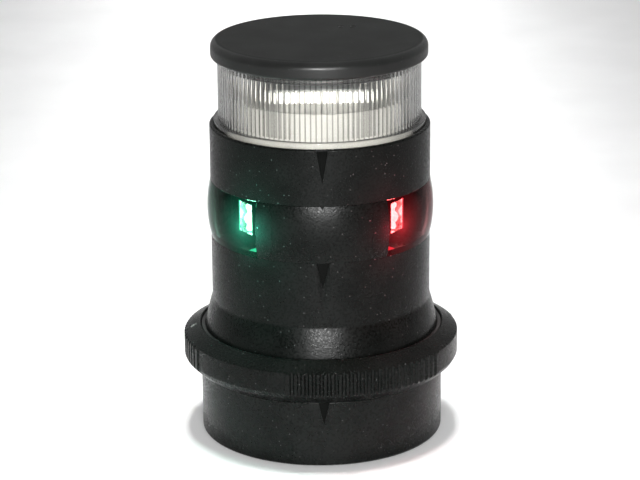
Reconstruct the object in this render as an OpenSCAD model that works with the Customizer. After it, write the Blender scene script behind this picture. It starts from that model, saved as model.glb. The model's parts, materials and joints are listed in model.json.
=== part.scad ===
// Combined LED navigation light with a twist-lock base.
// Starboard, port and stern sectors sit in the middle band, an all-round anchor light on top.
// Millimetres, +Z up, origin at the centre of the mounting face.
// Dead ahead is -Y, starboard is -X, port is +X. Bearings are counted from dead ahead towards port.

/* [Base] */
// Outer radius of the base cup
base_r = 36.8; // [36.8:0.1:37.2]
// Height of the base cup up to the locking ring
base_h = 20.3; // [20.3:0.1:24]
// Radius of the circle the fixing screws sit on
fixing_r = 23; // [22.5:0.1:23.5]
// Radius of each fixing hole
fixing_hole_r = 2.1; // [1.8:0.1:2.4]
// Radius of the cable the grommet takes
cable_r = 3; // [2:0.1:3.4]

/* [Locking ring] */
// Outer radius over the grip ribs
ring_r = 42; // [42:0.1:43]
// Height of the locking ring
ring_h = 13.2; // [13.2:0.1:14]
// Bearing where the first grip block starts
grip_from = -16; // [-40:1:40]
// Number of grip ribs in each block
grip_ribs = 24; // [20:1:28]
// Depth of the grooves between grip ribs
grip_depth = 0.6; // [0.4:0.1:0.8]
// Angle the ring turns between open and locked
lock_turn = 42; // [40:1:44]

/* [Head] */
// Outer radius of the head housings
head_r = 33.1; // [33:0.1:33.4]
// Height of the flared skirt
flare_h = 9.9; // [9:0.1:12]
// Height of the lower housing above the flare
lower_h = 19.5; // [19:0.1:24]
// Height of the sector band
band_h = 17.3; // [16:0.1:18]
// Height of the upper housing
upper_h = 17; // [16.5:0.1:20]

/* [Sector lights] */
// Bearing of the edge of each side window
window_edge = 35; // [33:1:37]
// Bearing of each side lamp
lamp_bearing = 56.25; // [54:0.25:58]
// Distance of each lamp board face from the axis
lamp_d = 23.9; // [23.7:0.1:24]

/* [Anchor light] */
// Radius over the ribs of the anchor lens
lens_r = 30.4; // [30.2:0.1:30.6]
// Height of the ribbed wall above the lens flange
lens_h = 18.6; // [17:0.1:22]
// Number of vertical lens ribs
lens_ribs = 120; // [90:6:120]
// Radius of the top cap
cap_r = 32.4; // [32:0.1:33]
// Height of the top cap
cap_h = 5.4; // [5:0.1:6]

/* [Hidden] */
$fn = 96;
eps = 0.1;
fit = 0.05;
arrow_depth = 0.25;
arrow_lean = 9;
run = 0.3;
third = 120;

// Levels, from the mounting face up
floor_t = 3;
neck_z = base_h + 6.7;
snap_z = base_h + 4;
snap_h = 1.5;
ring_z = base_h + run;
ring_top = ring_z + ring_h;
spigot_z = base_h - 2.3;
head_neck_z = neck_z + fit;
seal_z = neck_z + 4.8;
skirt_z = neck_z + 5.7;
crease_z = skirt_z + flare_h;
band_z = crease_z + lower_h;
band_top = band_z + band_h;
band_mid = (band_z + band_top) / 2;
rim_z = band_top + upper_h;
seat_z = rim_z - 3;
flange_top = rim_z + 1.6;
lens_top = flange_top + lens_h;
cap_top = lens_top + cap_h;

// Base cup, its gasket, grommet and fixings
bore_r = 31.5;
gasket_in = 29.6;
gasket_out = 31.4;
gasket_t = 1.55;
fixing_boss_r = 5.2;
grommet_y = 20;
grommet_r = 4.95;
grommet_flange_r = 6.4;
grommet_flange_t = 1.1;
cell_in = 33.2;
cell_out = 35;
cell_h = 17;
cell_half = 12;

// Twist lock
neck_r = 34.6;
snap_r = 36.2;
ring_bore = snap_r + run;
ring_mouth = 36.9;
root_r = ring_bore + 0.4;
ring_flange_r = neck_r + run;
ring_flange_top = snap_z - run;
ring_wall_r = ring_r - 0.35;
ring_foot_r = 38;
tab_r = 34.3;
tab_z = neck_z + 2.6;
tab_h = 1.9;
tab_arc = 36;
lug_r = snap_r;
lug_z = neck_z + 0.4;
lug_h = 1.9;
peg_arc = 6;
peg_r = 35;
peg_z = snap_z + snap_h + run;
peg_h = neck_z - peg_z;
peg_at = 75;
stop_arc = 6;
stop_slack = 0.5;
grip_pitch = 3;
grip_arc = grip_ribs * grip_pitch;
grip_z = ring_z + 3.7;
grip_top = ring_z + 10.1;
bevel_z = ring_z + 10.3;

// Head shell
spigot_r = bore_r - run;
spigot_in = 28.5;
head_neck_r = 34;
skirt_r = 35.55;
lip_r = 36.6;
cavity_r = 31;
ledge_z = skirt_z + 2.8;
shelf_t = 2.5;
shelf_in = 20.5;
key_w = 4;
key_in = spigot_r - 0.6;
key_out = 32.3;
key_h = neck_z - spigot_z - 6.5;

// Sector band
zone_r = sqrt(head_r * head_r + band_h * band_h / 4);
shell_in = 31.2;
core_r = 27;
core_flange = 1.2;
lens_wall = 2;
baffle_in = 29.4;
baffle_from = 2 * lamp_bearing - window_edge;
pocket_w = 7;
pocket_h = 9.8;
lamp_board_t = 1;
pillar_from = 115;
pillar_to = 125;
screen_w = 5.6;
screen_round = 5;
band_seal_r = 30.3;
band_seal_wire = 0.48;
band_groove = 0.6;

// Fasteners inside the head
screw_at = 28;
screw_r = 1.5;
screw_head_r = 2.6;
screw_head_h = 2.4;
boss_r = 3;
post_r = 3.4;
board_r = 30.4;
board_z = ledge_z + 8.5;
board_t = 1.6;
post_at = 29;

// Anchor light
lens_in = 28;
lens_flange_r = 31.8;
lens_seal_t = 0.6;
drum_r = 26.5;
drum_top = flange_top + 7.4;
hub_half = 13.6;
hub_h = 4;
strip_t = 0.8;
lamp_t = 0.8;
lamp_w = 3.4;
lamp_pitch = 5.4;
plug_r = 27.9;
plug_h = 2.4;
cap_round = 2.4;

// Contact block
pin_x = 8;
pin_y = -3;
pin_r = 1.15;
pin_flange_r = 1.45;
pin_foot_z = floor_t + 8;
pin_flange_h = 1;
pin_tip = spigot_z - 0.07;
strip_z = floor_t + fit;
contact_t = 0.5;
spring_z = strip_z + contact_t + fit;
block_h = 12;
block_w = 25;
ear_w = 35;
ear_t = 3;
block_screw_x = 15;
block_screw_r = 1.2;
terminal_y = 4.7;
terminal_w = 5;
terminal_h = 7.2;

shell = "#232423";
soft = "#161716";
white = "#e9e6dc";
metal = "#b9bcc0";
brassy = "#c8a24a";
board = "#1f5a38";

// Places children on the given bearing, at a distance from the axis, facing outwards along -Y
module at(bearing, distance) {
    rotate([0, 0, bearing]) translate([0, -distance, 0]) children();
}

// Sweeps a half section between two bearings
module sweep(from, to) {
    rotate([0, 0, from - 90]) rotate_extrude(angle = to - from) children();
}

// Rectangle of a half section, from radius r0 to r1 and from level z0 to z1
module strip(r0, r1, z0, z1) {
    translate([r0, z0]) square([r1 - r0, z1 - z0]);
}

// Waste outside a rounded lower edge at radius r and level z
module low_edge(r, z, e) {
    difference() {
        translate([r - e, z - eps]) square([e + eps, e + eps]);
        translate([r - e, z + e]) circle(e);
    }
}

// Waste outside a rounded upper edge at radius r and level z
module high_edge(r, z, e) {
    difference() {
        translate([r - e, z - e]) square([e + eps, e + eps]);
        translate([r - e, z - e]) circle(e);
    }
}

// Box centred across and upwards, from distance d0 to d1 in front of the axis
module slab(w, d0, d1, z0, z1) {
    translate([-w / 2, -d1, z0]) cube([w, d1 - d0, z1 - z0]);
}

// Downward pointing triangular pocket on the front face of a shell of radius r.
// Its floor leans back, so it is deepest at the top.
module arrow(r, width, top, tip, lean) {
    outline = [[-width / 2, top - tip], [width / 2, top - tip], [0, 0]];
    translate([0, arrow_depth - r, tip]) rotate([90 - lean, 0, 0]) linear_extrude(3) polygon(outline);
}

// Three copies, a third of a turn apart
module thrice(first) {
    for (k = [0:2]) rotate([0, 0, first + k * third]) children();
}

module three_pins() {
    for (k = [-1:1]) translate([k * pin_x, pin_y, 0]) children();
}

module end_stop(from) {
    sweep(from, from + stop_arc) strip(neck_r - 0.5, snap_r, snap_z + snap_h - 0.2, neck_z);
}

module base_cup() {
    color(shell) difference() {
        union() {
            rotate_extrude() difference() {
                union() {
                    strip(0, base_r, 0, base_h);
                    strip(0, neck_r, 0, neck_z);
                }
                strip(0, bore_r, floor_t, neck_z + 1);
                low_edge(base_r, 0, 0.8);
                high_edge(base_r, base_h, 0.5);
                // groove for the gasket
                strip(gasket_in - eps, gasket_out + eps, -1, gasket_t + fit);
            }
            thrice(60) sweep(-18, 18) strip(neck_r - 0.5, snap_r, snap_z, snap_z + snap_h);
            // end stops of the ring travel
            end_stop(peg_at + peg_arc / 2 + stop_slack);
            end_stop(peg_at - lock_turn - peg_arc / 2 - stop_slack - stop_arc);
            thrice(0) translate([0, -fixing_r, 1]) cylinder(r = fixing_boss_r, h = floor_t + 1);
        }
        thrice(0) translate([0, -fixing_r, -1]) cylinder(r = fixing_hole_r, h = 10);
        // cable hole with a seat for the lower grommet flange
        at(180, grommet_y) translate([0, 0, -1]) cylinder(r = grommet_r + fit, h = 10);
        at(180, grommet_y) translate([0, 0, -1]) {
            cylinder(r = grommet_flange_r + 0.2, h = grommet_flange_t + 1.1);
        }
        for (side = [-1, 1]) translate([side * block_screw_x, 0, 1]) {
            cylinder(r = block_screw_r + fit, h = 10);
        }
        // material saved inside the thick wall, open underneath
        for (k = [0:11]) sweep(k * 30 - cell_half, k * 30 + cell_half) strip(cell_in, cell_out, -1, cell_h);
        // slot for the alignment key of the head
        translate([-key_w / 2 - run, bore_r - 1, spigot_z]) cube([key_w + 2 * run, 2.1, 20]);
        arrow(base_r, 4, base_h + 1, base_h - 7.6, arrow_lean);
    }
}

module base_gasket() {
    color(soft) rotate_extrude() strip(gasket_in, gasket_out, 0, gasket_t);
}

module cable_grommet() {
    color(soft) at(180, grommet_y) difference() {
        union() {
            translate([0, 0, fit]) cylinder(r = grommet_flange_r, h = grommet_flange_t);
            translate([0, 0, 0.5]) cylinder(r = grommet_r, h = floor_t + 0.4);
            translate([0, 0, floor_t + fit]) cylinder(r = grommet_flange_r, h = grommet_flange_t + eps);
        }
        translate([0, 0, -1]) cylinder(r = cable_r, h = 10);
    }
}

module contact_block() {
    chamber = terminal_w + 2 * fit;
    color(shell) difference() {
        union() {
            translate([-block_w / 2, -8, floor_t]) cube([block_w, 16, block_h]);
            translate([-ear_w / 2, -3.5, floor_t]) cube([ear_w, 7, ear_t]);
        }
        three_pins() translate([0, 0, floor_t - 1]) cylinder(r = pin_flange_r + fit, h = 11.6);
        three_pins() translate([0, 0, floor_t]) cylinder(r = pin_r + fit, h = 20);
        for (k = [-1:1]) translate([k * pin_x, 0, 0]) {
            // channel for the contact strip
            translate([-2.1, -5, floor_t - 1]) cube([4.2, 12.4, 1 + contact_t + 2 * fit]);
            // terminal chamber, wire entry and driver access
            translate([-chamber / 2, terminal_y - chamber / 2, floor_t]) cube([chamber, chamber, 8]);
            translate([0, terminal_y, floor_t + 4]) rotate([-90, 0, 0]) cylinder(r = 1.7, h = 10);
            translate([0, terminal_y, floor_t]) cylinder(r = 1.75, h = 20);
        }
        for (side = [-1, 1]) translate([side * block_screw_x, 0, 0]) {
            cylinder(r = block_screw_r + eps, h = 10);
        }
    }
}

module block_screws() {
    seat = floor_t + ear_t + fit;
    color(metal) for (side = [-1, 1]) translate([side * block_screw_x, 0, 0]) difference() {
        union() {
            translate([0, 0, 1.2]) cylinder(r = block_screw_r, h = seat);
            translate([0, 0, seat]) cylinder(r = 2.2, h = 1.5);
        }
        translate([-2.5, -0.3, seat + 0.8]) cube([5, 0.6, 2]);
    }
}

module contact_strips() {
    color(brassy) for (k = [-1:1]) translate([k * pin_x - 2, -4.8, strip_z]) cube([4, 12, contact_t]);
}

module contact_pin(k) {
    color(brassy) translate([k * pin_x, pin_y, 0]) union() {
        translate([0, 0, pin_foot_z]) cylinder(r = pin_flange_r, h = pin_flange_h);
        translate([0, 0, pin_foot_z]) cylinder(r = pin_r, h = pin_tip - pin_foot_z - 0.5);
        translate([0, 0, pin_tip - 0.55]) cylinder(r1 = pin_r, r2 = pin_r - 0.55, h = 0.55);
    }
}

module contact_pin_common() {
    contact_pin(-1);
}

module contact_pin_sectors() {
    contact_pin(0);
}

module contact_pin_anchor() {
    contact_pin(1);
}

// Round wire wound into an open helix, with one ring of points at every step
spring_turns = 6;
spring_steps = 14;
wire_sides = 6;
wire_r = 0.16;
coil_r = 1.15;
spring_low = spring_z + wire_r;
spring_rise = pin_foot_z - fit - wire_r - spring_low;
coil_count = spring_turns * spring_steps;
function wire_point(i, j) = let (
    turn = 360 * i / spring_steps,
    around = 360 * j / wire_sides,
    out = coil_r + wire_r * cos(around)
) [out * cos(turn), out * sin(turn), spring_low + spring_rise * i / coil_count + wire_r * sin(around)];
spring_points = [for (i = [0:coil_count]) for (j = [0:wire_sides - 1]) wire_point(i, j)];
spring_walls = [for (i = [0:coil_count - 1]) for (j = [0:wire_sides - 1]) [
    i * wire_sides + j,
    (i + 1) * wire_sides + j,
    (i + 1) * wire_sides + (j + 1) % wire_sides,
    i * wire_sides + (j + 1) % wire_sides
]];
spring_start = [for (j = [0:wire_sides - 1]) j];
spring_end = [for (j = [wire_sides - 1:-1:0]) coil_count * wire_sides + j];

module contact_spring(k) {
    faces = concat(spring_walls, [spring_start, spring_end]);
    color(metal) translate([k * pin_x, pin_y, 0]) polyhedron(spring_points, faces);
}

module contact_spring_common() {
    contact_spring(-1);
}

module contact_spring_sectors() {
    contact_spring(0);
}

module contact_spring_anchor() {
    contact_spring(1);
}

module terminals() {
    color(brassy) for (k = [-1:1]) translate([k * pin_x, terminal_y, 0]) difference() {
        translate([-terminal_w / 2, -terminal_w / 2, spring_z]) cube([terminal_w, terminal_w, terminal_h]);
        translate([0, -5, floor_t + 4]) rotate([-90, 0, 0]) cylinder(r = 1.5, h = 10);
        translate([0, 0, floor_t + 4]) cylinder(r = 1.3, h = 10);
    }
}

module terminal_screws() {
    color(metal) for (k = [-1:1]) translate([k * pin_x, terminal_y, 0]) difference() {
        union() {
            translate([0, 0, floor_t + 5.6]) cylinder(r = 1.25, h = 4);
            translate([0, 0, floor_t + 8.2]) cylinder(r = 1.65, h = 1.6);
        }
        translate([-2, -0.25, floor_t + 9.1]) cube([4, 0.5, 2]);
    }
}

module groove() {
    translate([0, 0, grip_z + 0.3]) cylinder(r = grip_depth + 0.15, h = grip_top - grip_z - 0.6);
}

module locking_ring() {
    color(shell) difference() {
        union() {
            rotate_extrude() polygon([
                [ring_flange_r, ring_z],
                [ring_foot_r, ring_z],
                [ring_foot_r + 1.5, ring_z + 0.9],
                [ring_wall_r - 0.7, ring_z + 2.4],
                [ring_wall_r, ring_z + 3.7],
                [ring_wall_r, bevel_z],
                [ring_mouth, ring_top],
                [ring_mouth, seal_z - 0.2],
                [ring_bore, seal_z - 0.2],
                [ring_bore, ring_flange_top],
                [ring_flange_r, ring_flange_top]
            ]);
            thrice(grip_from) sweep(0, grip_arc) strip(ring_wall_r - 0.5, ring_r, grip_z, grip_top);
            // tabs that pass over the lugs of the head
            thrice(lock_turn) sweep(-tab_arc / 2, tab_arc / 2) strip(tab_r, root_r, tab_z, tab_z + tab_h);
            sweep(peg_at - peg_arc / 2, peg_at + peg_arc / 2) strip(peg_r, root_r, peg_z, peg_z + peg_h);
        }
        thrice(0) for (i = [1:grip_ribs - 1]) {
            at(grip_from + i * grip_pitch, ring_r + 0.15) groove();
        }
    }
}

module lower_housing() {
    color(shell) difference() {
        union() {
            rotate_extrude() difference() {
                union() {
                    strip(spigot_in, spigot_r, spigot_z, skirt_z);
                    strip(spigot_in, head_neck_r, head_neck_z, skirt_z + 1);
                    polygon([
                        [spigot_in, skirt_z],
                        [skirt_r, skirt_z],
                        [head_r, crease_z],
                        [spigot_in, crease_z]
                    ]);
                    strip(shelf_in, head_r, crease_z, band_z);
                }
                strip(0, cavity_r, ledge_z, band_z - shelf_t);
                // grooves for the neck O-ring and the band seal
                strip(29.75, spigot_r + 1, spigot_z + 3.6, spigot_z + 5.4);
                strip(band_seal_r - band_groove, band_seal_r + band_groove, band_z - 1.1, band_z + 1);
                low_edge(spigot_r, spigot_z, 0.5);
                low_edge(skirt_r, skirt_z, 0.3);
            }
            thrice(0) sweep(-tab_arc / 2, tab_arc / 2) strip(head_neck_r - 0.5, lug_r, lug_z, lug_z + lug_h);
            // alignment key
            translate([-key_w / 2, key_in, spigot_z + 6]) cube([key_w, key_out - key_in, key_h]);
            thrice(60) translate([0, -post_at, ledge_z - 1]) cylinder(r = 2.4, h = board_z - ledge_z + 1);
        }
        thrice(60) translate([0, -post_at, ledge_z + 2]) cylinder(r = 1.15, h = 10);
        thrice(0) translate([0, -screw_at, band_z - shelf_t - 1]) cylinder(r = screw_r + 0.1, h = 5);
        arrow(head_r, 4, band_z + 1, band_z - 8.1, arrow_lean);
    }
}

module bottom_plate() {
    color(shell) difference() {
        translate([0, 0, spigot_z]) cylinder(r = spigot_in - fit, h = 2.2);
        three_pins() translate([0, 0, spigot_z - 1]) cylinder(r = 2.45, h = 1.6);
        three_pins() translate([0, 0, spigot_z]) cylinder(r = 1.25, h = 5);
    }
}

module contact_studs() {
    color(brassy) three_pins() union() {
        translate([0, 0, spigot_z]) cylinder(r = 2.4, h = 0.55);
        translate([0, 0, spigot_z + 0.3]) cylinder(r = 1.2, h = 5);
    }
}

module neck_o_ring() {
    color(soft) rotate_extrude() translate([30.62, spigot_z + 4.5]) circle(0.8);
}

module skirt_seal() {
    color(soft) rotate_extrude() union() {
        strip(head_neck_r + fit, lip_r, seal_z, skirt_z - eps);
        strip(skirt_r + eps, lip_r, seal_z + 0.2, skirt_z + 0.4);
    }
}

module driver_board() {
    color(board) difference() {
        translate([0, 0, board_z + fit]) cylinder(r = board_r, h = board_t);
        thrice(60) translate([0, -post_at, board_z - 1]) cylinder(r = 1.15, h = 5);
    }
}

module board_screws() {
    color(metal) thrice(60) translate([0, -post_at, 0]) difference() {
        union() {
            translate([0, 0, board_z - 4]) cylinder(r = 1.1, h = 6);
            translate([0, 0, board_z + board_t + 2 * fit]) cylinder(r = 1.9, h = 1.3);
        }
        translate([-2.5, -0.25, board_z + board_t + 0.9]) cube([5, 0.5, 2]);
        translate([-0.25, -2.5, board_z + board_t + 0.9]) cube([0.5, 5, 2]);
    }
}

module driver_components() {
    top = board_z + board_t + 2 * fit;
    color("#30353a") union() {
        for (side = [-1, 1]) translate([side * 11, 12, top]) cylinder(r = 4, h = 8);
        translate([-6, -17, top]) cube([12, 12, 5]);
        for (side = [-1, 1]) translate([side * 17 - 3, -6, top]) cube([6, 8, 2]);
        for (k = [-2:2]) translate([k * 4 - 1, 1, top]) cube([2, 3.2, 1]);
        translate([-5, 20, top]) cube([10, 5, 6]);
    }
}

module heat_sink() {
    color(metal) union() {
        translate([0, 0, band_z - 6]) cylinder(r = 12, h = band_h + 8);
        for (k = [0:2]) translate([0, 0, band_z - 7 + k * 2.4]) cylinder(r = 19.5, h = 1.2);
        for (bearing = [-lamp_bearing, lamp_bearing, 180]) rotate([0, 0, bearing]) {
            slab(6.6, 8, lamp_d - lamp_board_t - fit, band_mid - 4.7, band_mid + 4.7);
        }
    }
}

module zone(from, to, inner) {
    sweep(from, to) intersection() {
        translate([0, band_mid]) circle(zone_r, $fn = 360);
        strip(inner, zone_r + 1, band_z + fit, band_top - fit);
    }
}

// Opaque wall just inside a side lens, from the end of its window to the pillar
module baffle() {
    low = band_z + core_flange - eps;
    high = band_top - core_flange + eps;
    sweep(baffle_from, pillar_from + 0.5) strip(baffle_in, shell_in - 0.2, low, high);
}

module sector_core() {
    color(shell) difference() {
        union() {
            rotate_extrude() union() {
                strip(shelf_in, core_r, band_z + fit, band_top - fit);
                strip(shelf_in, shell_in - fit, band_z + fit, band_z + core_flange);
                strip(shelf_in, shell_in - fit, band_top - core_flange, band_top - fit);
            }
            zone(pillar_from, pillar_to, core_r - 3);
            zone(-pillar_to, -pillar_from, core_r - 3);
            baffle();
            mirror([1, 0, 0]) baffle();
            at(0, screw_at) translate([0, 0, band_z + fit]) cylinder(r = boss_r, h = band_h - 2 * fit);
        }
        for (bearing = [-lamp_bearing, lamp_bearing, 180]) rotate([0, 0, bearing]) {
            slab(pocket_w, 15, 30, band_mid - pocket_h / 2, band_mid + pocket_h / 2);
        }
        thrice(0) translate([0, -screw_at, band_z - 1]) cylinder(r = screw_r + 0.1, h = band_h + 2);
    }
}

// Lens between two bearings, with a wall of even thickness
module sector_lens(from, to) {
    difference() {
        zone(from + 0.1, to - 0.1, shell_in);
        translate([0, 0, band_mid]) sphere(r = zone_r - lens_wall, $fn = 360);
    }
}

module starboard_lens() {
    color("#1f3d30", 0.5) sector_lens(-pillar_from, -window_edge);
}

module port_lens() {
    color("#4a2022", 0.5) sector_lens(window_edge, pillar_from);
}

module stern_lens() {
    color("#8b9092", 0.5) sector_lens(pillar_to, 360 - pillar_to);
}

// D-shaped outline of a cut-off screen, its straight side on the window edge
module screen_outline(extra) {
    low = band_z + screen_round;
    high = band_top - screen_round;
    bend = screen_round - screen_w;
    intersection() {
        union() {
            translate([-screen_w - extra, low]) square([screen_w + extra + 1, high - low]);
            translate([bend, band_z]) square([2, band_h]);
            translate([bend, low]) circle(screen_round + extra);
            translate([bend, high]) circle(screen_round + extra);
        }
        translate([-screen_w - 1, band_z - 1]) square([screen_w + 1 + extra, band_h + 2]);
    }
}

module screen_prism(extra) {
    at(window_edge, shell_in - 2) rotate([90, 0, 0]) linear_extrude(8) screen_outline(extra);
}

module screen_piece() {
    intersection() {
        zone(window_edge - 12, window_edge, shell_in);
        screen_prism(0);
    }
}

module port_cutoff_screen() {
    color(shell) screen_piece();
}

module starboard_cutoff_screen() {
    color(shell) mirror([1, 0, 0]) screen_piece();
}

module front_shield() {
    color(shell) difference() {
        zone(-window_edge, window_edge, shell_in);
        screen_prism(0.08);
        mirror([1, 0, 0]) screen_prism(0.08);
        arrow(head_r + 0.1, 1.6, band_top + 0.5, band_top - 1, 0);
    }
}

module reflector(bearing) {
    half = pocket_h / 2 - fit;
    color(metal) rotate([0, 0, bearing]) difference() {
        slab(pocket_w - 0.1, lamp_d + fit, 26.7, band_mid - half, band_mid + half);
        slab(pocket_w - 0.7, lamp_d - 1, 30, band_mid - half + run, band_mid + half - run);
    }
}

module starboard_reflector() {
    reflector(-lamp_bearing);
}

module port_reflector() {
    reflector(lamp_bearing);
}

module stern_reflector() {
    reflector(180);
}

module led_board(bearing) {
    color(white) rotate([0, 0, bearing]) {
        slab(pocket_w - 0.2, lamp_d - lamp_board_t, lamp_d, band_mid - 4.8, band_mid + 4.8);
    }
}

module starboard_led_board() {
    led_board(-lamp_bearing);
}

module port_led_board() {
    led_board(lamp_bearing);
}

module stern_led_board() {
    led_board(180);
}

module led(bearing) {
    rotate([0, 0, bearing]) union() {
        slab(3.2, lamp_d + fit, lamp_d + 0.7, band_mid - 1.6, band_mid + 1.6);
        translate([0, -lamp_d - 0.5, band_mid]) rotate([90, 0, 0]) cylinder(r = 1.4, h = 0.8);
        translate([0, -lamp_d - 1.3, band_mid]) sphere(r = 1.2);
    }
}

module starboard_led() {
    color("#7ef0c0") led(-lamp_bearing);
}

module port_led() {
    color("#ff8070") led(lamp_bearing);
}

module stern_led() {
    color("#fdfdf2") led(180);
}

module lower_module_seal() {
    color(soft) rotate_extrude() translate([band_seal_r, band_z - 0.5]) circle(band_seal_wire);
}

module upper_module_seal() {
    color(soft) rotate_extrude() translate([band_seal_r, band_top + 0.5]) circle(band_seal_wire);
}

module through_screws() {
    low = band_z - shelf_t - fit;
    color(metal) thrice(0) translate([0, -screw_at, 0]) difference() {
        union() {
            translate([0, 0, low - screw_head_h]) cylinder(r = screw_head_r, h = screw_head_h);
            translate([0, 0, low - 1]) cylinder(r = screw_r, h = band_h + shelf_t + 11);
        }
        translate([-0.4, -1.6, low - screw_head_h - 1]) cube([0.8, 3.2, 2.2]);
        translate([-1.6, -0.4, low - screw_head_h - 1]) cube([3.2, 0.8, 2.2]);
    }
}

module upper_housing() {
    color(shell) difference() {
        union() {
            rotate_extrude() difference() {
                strip(shelf_in, head_r, band_top, rim_z);
                strip(0, cavity_r, band_top + shelf_t, seat_z - 1.9);
                strip(0, 24, band_top + 1, rim_z + 1);
                strip(0, lens_flange_r + 0.1, seat_z, rim_z + 1);
                strip(band_seal_r - band_groove, band_seal_r + band_groove, band_top - 1, band_top + 1.1);
                high_edge(head_r, rim_z, 0.6);
            }
            thrice(0) translate([0, -screw_at, band_top + 1]) cylinder(r = post_r, h = seat_z - band_top - 2);
        }
        thrice(0) translate([0, -screw_at, band_top - 1]) cylinder(r = screw_r + fit, h = 12.2);
        arrow(head_r, 3.7, rim_z + 1, rim_z - 10.4, arrow_lean / 2);
    }
}

module anchor_lens_seal() {
    color(soft) rotate_extrude() strip(28.6, 31.6, seat_z + 0.02, seat_z + lens_seal_t);
}

module anchor_lens() {
    rib_round = 0.82;
    color("#f2f5f6", 0.4) difference() {
        union() {
            rotate_extrude() strip(lens_in, lens_flange_r, seat_z + lens_seal_t + 0.02, flange_top);
            translate([0, 0, flange_top - 0.5]) linear_extrude(lens_h + 0.5) union() {
                circle(lens_r - rib_round);
                for (i = [0:lens_ribs - 1]) rotate(i * 360 / lens_ribs) {
                    translate([lens_r - rib_round, 0]) circle(rib_round);
                }
            }
        }
        translate([0, 0, seat_z]) cylinder(r = lens_in, h = lens_h + 20);
    }
}

module anchor_reflector() {
    color(white) rotate_extrude() difference() {
        union() {
            strip(24.2, lens_in - 0.2, seat_z + 0.02, seat_z + 1);
            strip(0, drum_r, seat_z + 0.02, drum_top);
        }
        strip(0, drum_r - 1.5, seat_z - 1, drum_top - 1.5);
        strip(0, 5, seat_z, drum_top + 1);
    }
}

module anchor_led_carrier() {
    color(metal) difference() {
        translate([-hub_half, -hub_half, drum_top + fit]) cube([2 * hub_half, 2 * hub_half, hub_h]);
        translate([0, 0, drum_top - 1]) cylinder(r = 5, h = 10);
    }
}

module anchor_led_boards() {
    color(white) for (q = [0:3]) rotate([0, 0, q * 90]) {
        slab(26.4, hub_half + fit, hub_half + strip_t, drum_top + 0.1, drum_top + hub_h);
    }
}

module anchor_leds() {
    face = hub_half + strip_t + fit;
    color("#fffdf0") for (q = [0:3]) rotate([0, 0, q * 90]) for (k = [-2:2]) {
        translate([k * lamp_pitch, 0, 0]) slab(lamp_w, face, face + lamp_t, drum_top + 0.5, drum_top + 3.5);
    }
}

module top_cap() {
    color(shell) rotate_extrude() difference() {
        union() {
            strip(0, cap_r, lens_top + 0.02, cap_top);
            strip(0, plug_r, lens_top - plug_h, lens_top + 1);
        }
        strip(0, 25.5, lens_top - plug_h - 1, cap_top - 2.2);
        strip(26.65, plug_r + 1, lens_top - 1.95, lens_top - 0.65);
        high_edge(cap_r, cap_top, cap_round);
        low_edge(cap_r, lens_top + 0.02, 0.9);
    }
}

module cap_seal() {
    color(soft) rotate_extrude() translate([27.32, lens_top - 1.3]) circle(0.62);
}

base_cup();
base_gasket();
cable_grommet();
contact_block();
block_screws();
contact_strips();
contact_pin_common();
contact_pin_sectors();
contact_pin_anchor();
contact_spring_common();
contact_spring_sectors();
contact_spring_anchor();
terminals();
terminal_screws();
locking_ring();
lower_housing();
bottom_plate();
contact_studs();
neck_o_ring();
skirt_seal();
driver_board();
driver_components();
board_screws();
heat_sink();
sector_core();
starboard_lens();
port_lens();
stern_lens();
starboard_reflector();
port_reflector();
stern_reflector();
starboard_led_board();
port_led_board();
stern_led_board();
starboard_led();
port_led();
stern_led();
starboard_cutoff_screen();
port_cutoff_screen();
front_shield();
lower_module_seal();
upper_module_seal();
through_screws();
upper_housing();
anchor_lens();
anchor_lens_seal();
anchor_reflector();
anchor_led_carrier();
anchor_led_boards();
anchor_leds();
top_cap();
cap_seal();
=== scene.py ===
"""Looks for the combined navigation light: its shells, lenses, lit LEDs, studio and camera.

Lengths are in millimetres and become metres through MM, except in the camera and the studio,
which are in metres. Bearings are in degrees, counted from dead ahead (-Y) towards port (+X), as in
the part's source. Outlines are lists of (r, z, fillet) corners.
"""
import json
import math

import bmesh
import bpy
from mathutils import Matrix, Vector

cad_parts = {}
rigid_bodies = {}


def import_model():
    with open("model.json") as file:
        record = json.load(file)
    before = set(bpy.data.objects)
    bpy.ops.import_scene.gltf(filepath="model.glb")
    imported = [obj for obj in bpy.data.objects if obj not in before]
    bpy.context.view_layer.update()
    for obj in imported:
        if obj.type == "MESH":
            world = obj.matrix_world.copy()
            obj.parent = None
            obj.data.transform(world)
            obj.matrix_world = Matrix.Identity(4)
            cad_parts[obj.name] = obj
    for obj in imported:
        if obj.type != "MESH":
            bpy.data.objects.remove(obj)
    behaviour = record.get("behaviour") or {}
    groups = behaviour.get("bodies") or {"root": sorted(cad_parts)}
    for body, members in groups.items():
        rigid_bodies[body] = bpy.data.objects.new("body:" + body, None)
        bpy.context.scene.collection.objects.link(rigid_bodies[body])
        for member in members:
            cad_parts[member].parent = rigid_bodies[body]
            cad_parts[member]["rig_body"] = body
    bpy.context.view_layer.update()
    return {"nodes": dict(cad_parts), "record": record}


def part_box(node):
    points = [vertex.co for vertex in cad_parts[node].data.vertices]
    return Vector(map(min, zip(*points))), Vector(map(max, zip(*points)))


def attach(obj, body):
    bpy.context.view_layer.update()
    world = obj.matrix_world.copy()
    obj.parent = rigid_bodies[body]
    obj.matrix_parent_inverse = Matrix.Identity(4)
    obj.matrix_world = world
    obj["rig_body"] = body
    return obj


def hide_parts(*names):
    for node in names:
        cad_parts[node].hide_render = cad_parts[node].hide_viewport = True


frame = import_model()
nodes = frame["nodes"]
slot_of = {part["node"]: part["material_slot"] for part in frame["record"]["subparts"]}
scene = bpy.context.scene
MM = 0.001


# ---------------------------------------------------------------- sizes taken from the frame

def low(node):
    """Lowest level of a CAD node."""
    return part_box(node)[0].z / MM


def high(node):
    """Highest level of a CAD node."""
    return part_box(node)[1].z / MM


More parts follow.
